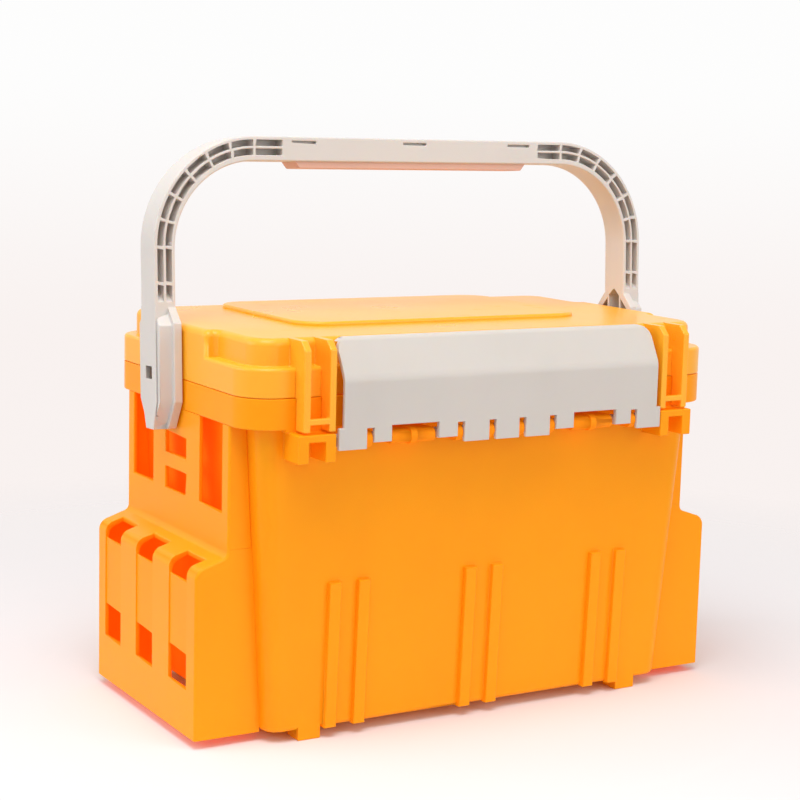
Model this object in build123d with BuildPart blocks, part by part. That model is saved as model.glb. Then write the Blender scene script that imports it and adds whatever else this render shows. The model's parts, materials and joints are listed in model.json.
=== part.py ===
from build123d import *
import os

# Tackle box: a drafted tub with a side sleeve at each end, a hinged lid, a wide front latch,
# a folding carrying handle and a lift-out tray. Millimetres. +X runs along the width, -Y faces
# the latch side, +Z is up, and the origin is on the floor under the middle of the box.

# Fits that several pieces share
overrun = 5.0
pin_clearance = 0.06
press_clearance = 0.02
seat_clearance = 0.3
parting_gap = 0.4

# Tub and its rim
wall = 3.0
tub_height = 235.0
mouth_width = 364.0
mouth_depth = 221.0
side_draft = 14.0
front_draft = 9.5
tub_corner = 12.0
tub_edge_round = 4.0
rim_height = 21.0
rim_side_overhang = 11.5
rim_front_overhang = 6.5
rim_corner = 26.0
rim_edge_round = 1.0
foot_height = 7.5
foot_width = 17.0
foot_length = 16.0
foot_inset = 32.0
rib_width = 9.0
rib_gap = 13.7
rib_rise = 104.0
rib_stand = 4.0
rib_pair_spacing = 110.0
rib_pairs = 3

# Side sleeves, each a window panel that stands on an accessory socket
sleeve_setback = 1.0
socket_drop = 1.0
socket_height = 117.5
socket_reach = 23.5
shoulder_rise = 8.0
shoulder_round = 8.5
shoulder_blend = 5.0
sleeve_edge_round = 2.0
channel_count = 3
channel_width = 30.0
slot_drop = 10.0
slot_reach = 14.0
strip_recess = 0.8
socket_window_sill = 33.0
socket_window_height = 24.5
panel_window_sill = 29.0
panel_window_width = 36.5
tall_window_height = 63.0
small_window_height = 15.6
small_window_gap = 10.4
small_window_count = 2

# Lid
lid_wall = 3.0
flange_height = 20.0
flange_round = 2.5
crown_inset = 9.0
crown_height = 18.5
crown_round = 5.0
pad_depth = 96.0
pad_round = 3.5
top_panel_width = 240.0
top_panel_depth = 150.0
top_panel_shift = 24.0
top_panel_height = 3.0
top_panel_corner = 22.0
top_panel_round = 2.0
bay_recess = 4.0

# Ears on the lid and brackets on the tub, either side of the latch
ear_gap = 5.0
ear_width = 24.0
ear_rib = 5.0
ear_reach = 13.0
ear_top_chamfer = 6.0
ear_rim_gap = 0.8
ear_bar_height = 4.0
ear_bar_depth = 4.0
ear_bar_lift = 5.0
bracket_gap = 1.5
bracket_width = 28.0
bracket_height = 19.0
bracket_reach = 14.0
bracket_roof = 5.0
bracket_leg = 7.8
rim_tab_margin = 2.5
rim_tab_drop = 2.0

# Latch and the hinge that it turns on
latch_wall = 3.0
latch_end_margin = 63.0
latch_flare = 3.5
latch_flare_height = 15.0
latch_face_height = 48.0
latch_top_rise = 26.0
latch_top_lean = 14.4
latch_lip = 6.2
latch_corner = 9.0
latch_kink_round = 14.0
latch_top_round = 5.0
latch_pivot_reach = 8.0
latch_pivot_drop = 28.5
latch_pivot_skirt = 6.0
latch_face_reach = 7.0
latch_pin_diameter = 4.0
latch_sleeve_diameter = 9.0
latch_pin_inset = 2.0
narrow_notch_width = 5.5
narrow_notch_height = 14.0
narrow_notch_gap = 0.5
wide_notch_width = 37.0
wide_notch_height = 15.0
wide_notch_gap = 1.5
short_segment_rise = 4.0
narrow_notch_shares = (-0.8425, -0.2945, -0.0958, 0.0958, 0.2945, 0.8425)
wide_notch_shares = (-0.5747, 0.5747)
barrel_diameter = 9.5
ring_diameter = 11.5

# Lid hinge at the back
hinge_spacing = 210.0
hinge_reach = 8.0
hinge_drop = 2.5
hinge_diameter = 14.0
hinge_pin_diameter = 4.0
body_knuckle_length = 16.0
lid_knuckle_length = 24.0
knuckle_gap = 0.5
hinge_gusset = 14.0
diagonal_share = 0.7071

# Handle, its grip and the pivots in the rim
leg_thickness = 15.8
leg_depth = 25.0
bar_height = 17.6
handle_rise = 180.6
handle_bend = 78.0
handle_lean = 3.0
handle_edge_round = 1.2
pivot_back = 8.0
pivot_drop = 11.5
handle_skin = 2.4
handle_web = 1.8
handle_core = 3.0
cross_rib = 2.0
bar_pocket_length = 22.0
bend_pockets = 6
leg_pocket_lengths = (25.0, 13.0)
ramp_rise = 11.0
slit_length = 20.0
slit_height = 1.8
slit_depth = 4.0
slit_drop = 3.0
slit_spacing = 93.0
slit_count = 3
grip_height = 5.0
grip_depth = 22.0
grip_side_margin = 11.0
grip_end_chamfer = 4.0
paddle_drop = 25.0
paddle_depth = 45.0
paddle_tip_depth = 20.0
paddle_taper = 20.0
paddle_tip_round = 6.0
paddle_shoulder_height = 50.0
paddle_shoulder_rise = 11.0
paddle_base = 6.0
paddle_step = 9.0
paddle_step_inset = 3.5
paddle_draft = 8.0
paddle_skin = 2.6
hollow_peak_lift = 4.0
strip_tip_depth = 13.0
seam_width = 1.0
seam_depth = 1.2
strip_window_height = 9.0
strip_window_depth = 11.0
strip_window_lift = 15.0
strip_window_cut = 5.0
hub_diameter = 20.0
hub_rib = 2.0
hub_rib_spacing = 15.0
pivot_pin_diameter = 10.0
pivot_head_diameter = 16.0
pivot_head_thickness = 3.0
pivot_pin_reach = 9.0
washer_diameter = 22.0
washer_thickness = 1.0

# Lift-out tray and the dividers
tray_height = 48.0
tray_wall = 2.4
tray_gap = 2.0
tray_corner = 10.0
tray_top_drop = 7.0
tray_ledge_width = 6.0
tray_ledge_height = 4.0
tray_ledge_length = 120.0
tray_dividers = 3
tray_divider_thickness = 2.0
tray_divider_drop = 4.0
floor_dividers = 2
floor_divider_thickness = 2.6
floor_divider_height = 108.0
guide_width = 2.0
guide_depth = 3.0

# Heights and half sizes that follow from the values above
tub_bottom = foot_height
floor_top = tub_bottom + wall
rim_top = tub_bottom + tub_height
rim_bottom = rim_top - rim_height
rim_half_width = mouth_width / 2 + rim_side_overhang
rim_half_depth = mouth_depth / 2 + rim_front_overhang
rim_width = 2 * rim_half_width
rim_depth = 2 * rim_half_depth
floor_half_width = mouth_width / 2 - side_draft
floor_half_depth = mouth_depth / 2 - front_draft

socket_bottom = tub_bottom - socket_drop
shoulder = socket_bottom + socket_height
shoulder_top = shoulder + shoulder_rise
socket_half_width = rim_half_width + socket_reach
sleeve_half_depth = floor_half_depth - tub_corner - sleeve_setback
column_pitch = 2 * sleeve_half_depth / channel_count

lid_bottom = rim_top + parting_gap
ledge_top = lid_bottom + flange_height
crown_top = ledge_top + crown_height
crown_half_width = rim_half_width - crown_inset
crown_half_depth = rim_half_depth - crown_inset
crown_corner = rim_corner - crown_inset

latch_half_width = rim_half_width - latch_end_margin
latch_pivot_y = -rim_half_depth - latch_pivot_reach
latch_pivot_z = rim_top - latch_pivot_drop
latch_face_y = latch_pivot_y - latch_face_reach
latch_bottom = latch_pivot_z - latch_pivot_skirt
latch_kink = latch_bottom + latch_face_height
latch_top = latch_kink + latch_top_rise
latch_lip_y = latch_face_y + latch_top_lean + latch_lip
bay_half_width = latch_half_width + ear_gap
bracket_top = rim_bottom - rim_tab_drop
ear_front = -rim_half_depth - ear_reach
ear_bottom = bracket_top + bracket_gap

hinge_y = rim_half_depth + hinge_reach
hinge_z = rim_top - hinge_drop
hinge_radius = hinge_diameter / 2
hinge_slant = hinge_radius * diagonal_share
hinge_pin_length = lid_knuckle_length + 2 * (knuckle_gap + body_knuckle_length)

pivot_z = rim_top - pivot_drop
leg_inner = rim_half_width + washer_thickness + seat_clearance
leg_outer = leg_inner + leg_thickness
bar_top = pivot_z + handle_rise
bar_bottom = bar_top - bar_height
bend_x = leg_outer - handle_bend
bend_z = bar_top - handle_bend
pocket_width = (leg_thickness - 2 * handle_skin - handle_web) / 2
grip_half_width = bend_x - bar_pocket_length
paddle_bottom = pivot_z - paddle_drop
paddle_shoulder = pivot_z + paddle_shoulder_height
paddle_top = paddle_shoulder + paddle_shoulder_rise
hollow_inset = paddle_step_inset + paddle_skin
hollow_half = paddle_depth / 2 - hollow_inset
hollow_peak = paddle_top + hollow_peak_lift
handle_axis = Axis((0, pivot_back, pivot_z), (1, 0, 0))

tray_top = rim_top - tray_top_drop
tray_bottom = tray_top - tray_height
tray_floor = tray_bottom + tray_wall
guide_top = floor_top + floor_divider_height


def tub_half_width(z):
    """Half the tub's outer width at height z."""
    return mouth_width / 2 - side_draft * (rim_top - z) / tub_height


def tub_half_depth(z):
    """Half the tub's outer depth at height z."""
    return mouth_depth / 2 - front_draft * (rim_top - z) / tub_height


def even_places(count, length):
    """Places that divide a length, centred on zero, into count + 1 equal bays."""
    return [length * ((number + 1) / (count + 1) - 1 / 2) for number in range(count)]


def leaned(part):
    """Tip an upright handle piece back about the pivots, as the handle stands."""
    return part.rotate(handle_axis, -handle_lean)


tray_half_width = tub_half_width(tray_bottom) - wall - tray_gap
tray_half_depth = tub_half_depth(tray_bottom) - wall - tray_gap
tray_divider_places = even_places(tray_dividers, 2 * tray_half_width)
floor_divider_places = even_places(floor_dividers, 2 * floor_half_width)
rib_pair_places = even_places(rib_pairs, rib_pair_spacing * (rib_pairs + 1))
narrow_notches = [share * latch_half_width for share in narrow_notch_shares]
wide_notches = [share * latch_half_width for share in wide_notch_shares]
hinge_places = (-hinge_spacing / 2, hinge_spacing / 2)

# Tub: drafted shell, overhanging rim, feet, ribs, latch hinge, brackets and lid hinge knuckles
with BuildPart() as tub:
    with BuildSketch(Plane.XY.offset(tub_bottom)):
        RectangleRounded(2 * floor_half_width, 2 * floor_half_depth, tub_corner)
    with BuildSketch(Plane.XY.offset(rim_top)):
        RectangleRounded(mouth_width, mouth_depth, tub_corner)
    loft(ruled=True)
    fillet(edges().group_by(Axis.Z)[0], tub_edge_round)

    # the rim is a thin apron that hangs from a flat top round the mouth
    with BuildSketch(Plane.XY.offset(rim_bottom)):
        RectangleRounded(rim_width, rim_depth, rim_corner)
        RectangleRounded(rim_width - 2 * wall, rim_depth - 2 * wall, rim_corner - wall, mode=Mode.SUBTRACT)
    extrude(amount=rim_height)
    fillet(edges().filter_by_position(Axis.Z, rim_bottom, rim_bottom), rim_edge_round)
    with BuildSketch(Plane.XY.offset(rim_top - wall)):
        RectangleRounded(rim_width, rim_depth, rim_corner)
    extrude(amount=wall)
    with BuildSketch(Plane.YZ.offset(-rim_half_width), Plane.YZ.offset(rim_half_width)):
        with Locations((pivot_back, pivot_z)):
            Circle(pivot_pin_diameter / 2 + press_clearance)
    extrude(amount=wall + seat_clearance, both=True, mode=Mode.SUBTRACT)

    for end in (-1, 1):
        # block beside the latch, an inverted U that stands out under the rim
        block_x = end * (bay_half_width + bracket_width / 2)
        with BuildSketch(Plane.XZ.offset(rim_half_depth + bracket_reach)):
            with Locations((block_x, bracket_top - bracket_height / 2)):
                Rectangle(bracket_width, bracket_height)
            with Locations((block_x, bracket_top - bracket_roof - bracket_height / 2)):
                Rectangle(bracket_width - 2 * bracket_leg, bracket_height, mode=Mode.SUBTRACT)
        extrude(amount=-(bracket_reach + rim_front_overhang + front_draft))
        # the rim's lower edge drops to the block, a little wider than it
        tab_width = bracket_width + rim_tab_margin
        with BuildSketch(Plane.XY.offset(bracket_top)):
            RectangleRounded(rim_width, rim_depth, rim_corner)
            with Locations((end * (bay_half_width + tab_width / 2), -rim_half_depth)):
                Rectangle(tab_width, rim_corner, mode=Mode.INTERSECT)
        extrude(amount=rim_tab_drop + wall)

    # pairs of ribs that follow the drafted front and back walls
    rib_top = tub_bottom + rib_rise
    for place in rib_pair_places:
        for side in (-1, 1):
            with BuildSketch(Plane.YZ.offset(place + side * (rib_gap + rib_width) / 2)):
                with BuildLine():
                    Polyline(
                        (floor_half_depth + rib_stand, tub_bottom),
                        (tub_half_depth(rib_top) + rib_stand, rib_top),
                        (-tub_half_depth(rib_top) - rib_stand, rib_top),
                        (-floor_half_depth - rib_stand, tub_bottom),
                        close=True,
                    )
                make_face()
            extrude(amount=rib_width / 2, both=True)

    with BuildSketch(Plane.XY):
        with GridLocations(2 * (floor_half_width - foot_inset), 2 * floor_half_depth - foot_length, 2, 2):
            Rectangle(foot_width, foot_length)
    extrude(amount=foot_height + wall)

    # carriers of the latch hinge: a ring in each narrow notch, a barrel with a ring in each wide one
    arm = latch_pivot_reach + rim_front_overhang + front_draft
    for diameter, places, half_length in (
        (ring_diameter, narrow_notches + wide_notches, narrow_notch_width / 2 - narrow_notch_gap),
        (barrel_diameter, wide_notches, wide_notch_width / 2 - wide_notch_gap),
    ):
        for place in places:
            with BuildSketch(Plane.YZ.offset(place)):
                with Locations((latch_pivot_y, latch_pivot_z)):
                    Circle(diameter / 2)
                with Locations((latch_pivot_y + arm / 2, latch_pivot_z)):
                    Rectangle(arm, diameter)
            extrude(amount=half_length, both=True)
    with BuildSketch(Plane.YZ):
        with Locations((latch_pivot_y, latch_pivot_z)):
            Circle(latch_pin_diameter / 2 + press_clearance)
    extrude(amount=latch_half_width, both=True, mode=Mode.SUBTRACT)

    # outer knuckles of the two lid hinges, each on a gusset from the rim
    for hinge_x in hinge_places:
        for side in (-1, 1):
            knuckle_x = hinge_x + side * (lid_knuckle_length / 2 + knuckle_gap + body_knuckle_length / 2)
            with BuildSketch(Plane.YZ.offset(knuckle_x)):
                with BuildLine():
                    Polyline(
                        (rim_half_depth - wall, hinge_z - hinge_gusset),
                        (rim_half_depth, hinge_z - hinge_gusset),
                        (hinge_y + hinge_slant, hinge_z - hinge_slant),
                        (hinge_y, hinge_z),
                        (rim_half_depth, rim_top - wall / 2),
                        (rim_half_depth - wall, rim_top - wall / 2),
                        close=True,
                    )
                make_face()
                with Locations((hinge_y, hinge_z)):
                    Circle(hinge_radius)
                    Circle(hinge_pin_diameter / 2 + press_clearance, mode=Mode.SUBTRACT)
            extrude(amount=body_knuckle_length / 2, both=True)

    # the space inside the shell, open at the mouth
    for height in (floor_top, rim_top + overrun):
        with BuildSketch(Plane.XY.offset(height)):
            RectangleRounded(
                2 * (tub_half_width(height) - wall), 2 * (tub_half_depth(height) - wall), tub_corner - wall
            )
    loft(ruled=True, mode=Mode.SUBTRACT)

    # ledges on the end walls that carry the tray
    ledge_inner = tray_half_width - tray_ledge_width
    ledge_outer = tub_half_width(tray_bottom) - wall / 2
    with BuildSketch(Plane.XY.offset(tray_bottom - tray_ledge_height)):
        with GridLocations(ledge_inner + ledge_outer, 0, 2, 1):
            Rectangle(ledge_outer - ledge_inner, tray_ledge_length)
    extrude(amount=tray_ledge_height)

    # pairs of guides on the front and back walls that hold the floor dividers
    for place in floor_divider_places:
        for side in (-1, 1):
            guide_x = place + side * (floor_divider_thickness / 2 + seat_clearance + guide_width / 2)
            with BuildSketch(Plane.YZ.offset(guide_x)):
                with BuildLine():
                    Polyline(
                        (tub_half_depth(floor_top) - wall - guide_depth, floor_top - wall / 2),
                        (tub_half_depth(floor_top) - wall / 2, floor_top - wall / 2),
                        (tub_half_depth(guide_top) - wall / 2, guide_top),
                        (tub_half_depth(guide_top) - wall - guide_depth, guide_top),
                        close=True,
                    )
                make_face()
                mirror(about=Plane.YZ)
            extrude(amount=guide_width / 2, both=True)
tub.part.label = "tub"

# Side sleeve, whole: a window panel flush with the rim over an open-bottomed socket
with BuildPart() as side_sleeve:
    with BuildSketch(Plane.XZ):
        with BuildLine():
            Polyline(
                (tub_half_width(rim_bottom), rim_bottom),
                (rim_half_width, rim_bottom),
                (rim_half_width, shoulder_top),
                (socket_half_width, shoulder),
                (socket_half_width, socket_bottom),
                (floor_half_width, socket_bottom),
                (floor_half_width, tub_bottom),
                close=True,
            )
        make_face()
        fillet(vertices().group_by(Axis.X)[-1].sort_by(Axis.Y)[-1], shoulder_round)
        fillet(vertices().sort_by_distance((rim_half_width, shoulder_top))[0], shoulder_blend)
    extrude(amount=sleeve_half_depth, both=True)
    end_edges = edges().group_by(Axis.Y)[0] + edges().group_by(Axis.Y)[-1]
    fillet([edge for edge in end_edges if edge.center().X > rim_half_width - seat_clearance], sleeve_edge_round)
    with BuildSketch(Plane.XZ):
        with BuildLine():
            Polyline(
                (0, rim_bottom + overrun),
                (rim_half_width - wall, rim_bottom + overrun),
                (rim_half_width - wall, shoulder_top - wall),
                (socket_half_width - wall, shoulder - wall),
                (socket_half_width - wall, socket_bottom - overrun),
                (0, socket_bottom - overrun),
                close=True,
            )
        make_face()
        fillet(vertices().group_by(Axis.X)[-1].sort_by(Axis.Y)[-1], shoulder_round - wall)
    extrude(amount=sleeve_half_depth - wall, both=True, mode=Mode.SUBTRACT)

    # in each channel a slot over the shoulder, a shallow strip below it and a window at the foot
    slot_bottom = shoulder - slot_drop
    window_bottom = socket_bottom + socket_window_sill
    window_top = window_bottom + socket_window_height
    for low, high, depth in (
        (slot_bottom, shoulder_top, slot_reach),
        (window_top, slot_bottom, strip_recess),
        (window_bottom, window_top, wall + seat_clearance),
    ):
        with BuildSketch(Plane.XY.offset(low)):
            with Locations((socket_half_width, 0)):
                with GridLocations(0, column_pitch, 1, channel_count):
                    Rectangle(2 * depth, channel_width)
        extrude(amount=high - low, mode=Mode.SUBTRACT)

    # two tall windows with a column of small ones between them
    panel_sill = shoulder_top + panel_window_sill
    with BuildSketch(Plane.YZ.offset(rim_half_width)):
        with Locations((0, panel_sill + tall_window_height / 2)):
            with GridLocations(2 * column_pitch, 0, 2, 1):
                Rectangle(panel_window_width, tall_window_height)
        for number in range(small_window_count):
            small_sill = panel_sill + number * (small_window_height + small_window_gap)
            with Locations((0, small_sill + small_window_height / 2)):
                Rectangle(panel_window_width, small_window_height)
    extrude(amount=wall + seat_clearance, both=True, mode=Mode.SUBTRACT)

# the panel and the socket are parted just above the shoulder
parting = Plane.XY.offset(shoulder_top + shoulder_blend)
with BuildPart() as right_window_panel:
    add(side_sleeve.part)
    split(bisect_by=parting, keep=Keep.TOP)
right_window_panel.part.label = "right_window_panel"

with BuildPart() as left_window_panel:
    mirror(right_window_panel.part, about=Plane.YZ)
left_window_panel.part.label = "left_window_panel"

with BuildPart() as right_socket:
    add(side_sleeve.part)
    split(bisect_by=parting, keep=Keep.BOTTOM)
right_socket.part.label = "right_socket"

with BuildPart() as left_socket:
    mirror(right_socket.part, about=Plane.YZ)
left_socket.part.label = "left_socket"

# Lid: flange, stepped crown with a pad at each end, raised top panel, ears and hinge knuckles
with BuildPart() as lid:
    with BuildSketch(Plane.XY.offset(lid_bottom)):
        RectangleRounded(rim_width, rim_depth, rim_corner)
        with Locations((0, -rim_half_depth)):
            Rectangle(2 * bay_half_width, 2 * bay_recess, mode=Mode.SUBTRACT)
    extrude(amount=flange_height)
    fillet(faces().sort_by(Axis.Z)[-1].edges(), flange_round)
    with BuildSketch(Plane.XY.offset(ledge_top - lid_wall)):
        RectangleRounded(2 * crown_half_width, 2 * crown_half_depth, crown_corner)
        Rectangle(rim_width, pad_depth)
        pad_corners = [corner for corner in vertices() if abs(abs(corner.Y) - pad_depth / 2) < seat_clearance]
        fillet(pad_corners, pad_round)
    extrude(amount=crown_height + lid_wall)
    fillet(faces().sort_by(Axis.Z)[-1].edges(), crown_round)
    with BuildSketch(Plane.XY.offset(crown_top)):
        with Locations((0, top_panel_shift)):
            RectangleRounded(top_panel_width, top_panel_depth, top_panel_corner)
    extrude(amount=top_panel_height)
    fillet(faces().sort_by(Axis.Z)[-1].edges(), top_panel_round)

    for end in (-1, 1):
        # two upright ribs joined by a bar near their feet
        for rib_start in (bay_half_width, bay_half_width + ear_width - ear_rib):
            with BuildSketch(Plane.YZ.offset(end * (rib_start + ear_rib / 2))):
                with BuildLine():
                    Polyline(
                        (ear_front, ear_bottom),
                        (ear_front, crown_top - ear_top_chamfer),
                        (ear_front + ear_top_chamfer, crown_top),
                        (-rim_half_depth + rim_corner, crown_top),
                        (-rim_half_depth + rim_corner, lid_bottom),
                        (-rim_half_depth - ear_rim_gap, lid_bottom),
                        (-rim_half_depth - ear_rim_gap, ear_bottom),
                        close=True,
                    )
                make_face()
            extrude(amount=ear_rib / 2, both=True)
        with BuildSketch(Plane.XY.offset(ear_bottom + ear_bar_lift)):
            with Locations((end * (bay_half_width + ear_width / 2), ear_front + ear_bar_depth / 2)):
                Rectangle(ear_width, ear_bar_depth)
        extrude(amount=ear_bar_height)

    # hollow under the flange, and under the crown with its pads
    with BuildSketch(Plane.XY.offset(lid_bottom)):
        RectangleRounded(rim_width - 2 * lid_wall, rim_depth - 2 * lid_wall, rim_corner - lid_wall)
        with Locations((0, -rim_half_depth)):
            Rectangle(2 * (bay_half_width + lid_wall), 2 * (bay_recess + lid_wall), mode=Mode.SUBTRACT)
    extrude(amount=flange_height - lid_wall, mode=Mode.SUBTRACT)
    with BuildSketch(Plane.XY.offset(lid_bottom)):
        RectangleRounded(
            2 * (crown_half_width - lid_wall), 2 * (crown_half_depth - lid_wall), crown_corner - lid_wall
        )
        Rectangle(rim_width - 2 * lid_wall, pad_depth - 2 * lid_wall)
    extrude(amount=flange_height + crown_height - lid_wall, mode=Mode.SUBTRACT)

    # middle knuckle of each hinge, on a gusset from the flange
    for hinge_x in hinge_places:
        with BuildSketch(Plane.YZ.offset(hinge_x)):
            with BuildLine():
                Polyline(
                    (rim_half_depth - lid_wall, lid_bottom),
                    (rim_half_depth - lid_wall, lid_bottom + hinge_gusset),
                    (rim_half_depth, lid_bottom + hinge_gusset),
                    (hinge_y + hinge_slant, hinge_z + hinge_slant),
                    (hinge_y, hinge_z),
                    (rim_half_depth + ear_rim_gap, lid_bottom),
                    close=True,
                )
            make_face()
            with Locations((hinge_y, hinge_z)):
                Circle(hinge_radius)
                Circle(hinge_pin_diameter / 2 + pin_clearance, mode=Mode.SUBTRACT)
        extrude(amount=lid_knuckle_length / 2, both=True)
lid.part.label = "lid"

# Latch: a bent plate with a lip along its top and sleeves for the hinge pin at its foot
with BuildPart() as latch:
    with BuildSketch(Plane.YZ):
        with BuildLine():
            Polyline(
                (latch_face_y, latch_bottom),
                (latch_face_y, latch_kink),
                (latch_face_y + latch_top_lean, latch_top),
                (latch_lip_y, latch_top),
                (latch_lip_y, latch_top - latch_wall),
                (latch_face_y + latch_top_lean + latch_wall / 2, latch_top - latch_wall),
                (latch_face_y + latch_wall, latch_kink - latch_wall / 2),
                (latch_face_y + latch_wall, latch_bottom),
                close=True,
            )
        make_face()
        fillet(vertices().sort_by_distance((latch_face_y, latch_kink))[0], latch_kink_round)
        fillet(vertices().sort_by_distance((latch_face_y + latch_top_lean, latch_top))[0], latch_top_round)
        with Locations((latch_pivot_y, latch_pivot_z)):
            Circle(latch_sleeve_diameter / 2)
            Circle(latch_pin_diameter / 2 + pin_clearance, mode=Mode.SUBTRACT)
    extrude(amount=latch_half_width + latch_flare, both=True)
    with BuildSketch(Plane.XZ):
        with Locations((0, (latch_bottom + latch_top) / 2)):
            Rectangle(2 * latch_half_width, latch_top - latch_bottom)
        fillet(vertices().group_by(Axis.Y)[-1], latch_corner)
        with Locations((0, latch_bottom + latch_flare_height / 2)):
            Rectangle(2 * (latch_half_width + latch_flare), latch_flare_height)
        for place in narrow_notches:
            with Locations((place, latch_bottom)):
                Rectangle(narrow_notch_width, 2 * narrow_notch_height, mode=Mode.SUBTRACT)
        for place in wide_notches:
            with Locations((place, latch_bottom)):
                Rectangle(wide_notch_width, 2 * wide_notch_height, mode=Mode.SUBTRACT)
            # the short lengths either side of a wide notch stop higher than the rest
            before = max(notch for notch in narrow_notches if notch < place)
            after = min(notch for notch in narrow_notches if notch > place)
            with Locations(((before + after) / 2, latch_bottom)):
                Rectangle(after - before, 2 * short_segment_rise, mode=Mode.SUBTRACT)
    extrude(amount=rim_depth, both=True, mode=Mode.INTERSECT)
latch.part.label = "latch"

# Pins of the latch hinge and of the two lid hinges
with BuildPart() as latch_hinge_pin:
    with BuildSketch(Plane.YZ):
        with Locations((latch_pivot_y, latch_pivot_z)):
            Circle(latch_pin_diameter / 2)
    extrude(amount=latch_half_width - latch_pin_inset, both=True)
latch_hinge_pin.part.label = "latch_hinge_pin"

with BuildPart() as right_lid_hinge_pin:
    with BuildSketch(Plane.YZ.offset(hinge_places[1])):
        with Locations((hinge_y, hinge_z)):
            Circle(hinge_pin_diameter / 2)
    extrude(amount=hinge_pin_length / 2, both=True)
right_lid_hinge_pin.part.label = "right_lid_hinge_pin"

with BuildPart() as left_lid_hinge_pin:
    mirror(right_lid_hinge_pin.part, about=Plane.YZ)
left_lid_hinge_pin.part.label = "left_lid_hinge_pin"

# Handle: an arch with rows of pockets round its bends, and a stepped paddle on each leg.
# It is modelled upright and then tipped back about its pivots.
strip_corners = [
    (leg_depth / 2, paddle_top),
    (leg_depth / 2, paddle_bottom + paddle_taper),
    (strip_tip_depth / 2, paddle_bottom),
    (-strip_tip_depth / 2, paddle_bottom),
    (-leg_depth / 2, paddle_bottom + paddle_taper),
    (-leg_depth / 2, paddle_top),
]
paddle_corners = [
    (leg_depth / 2, paddle_top),
    (paddle_depth / 2, paddle_shoulder),
    (paddle_depth / 2, paddle_bottom + paddle_taper),
    (paddle_tip_depth / 2, paddle_bottom),
    (-paddle_tip_depth / 2, paddle_bottom),
    (-paddle_depth / 2, paddle_bottom + paddle_taper),
    (-paddle_depth / 2, paddle_shoulder),
    (-leg_depth / 2, paddle_top),
]
hollow_corners = [
    (0, hollow_peak),
    (hollow_half, hollow_peak - hollow_half),
    (hollow_half, paddle_bottom + paddle_taper),
    (paddle_tip_depth / 2 - paddle_skin, paddle_bottom + hollow_inset),
    (-paddle_tip_depth / 2 + paddle_skin, paddle_bottom + hollow_inset),
    (-hollow_half, paddle_bottom + paddle_taper),
    (-hollow_half, hollow_peak - hollow_half),
]

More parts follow.
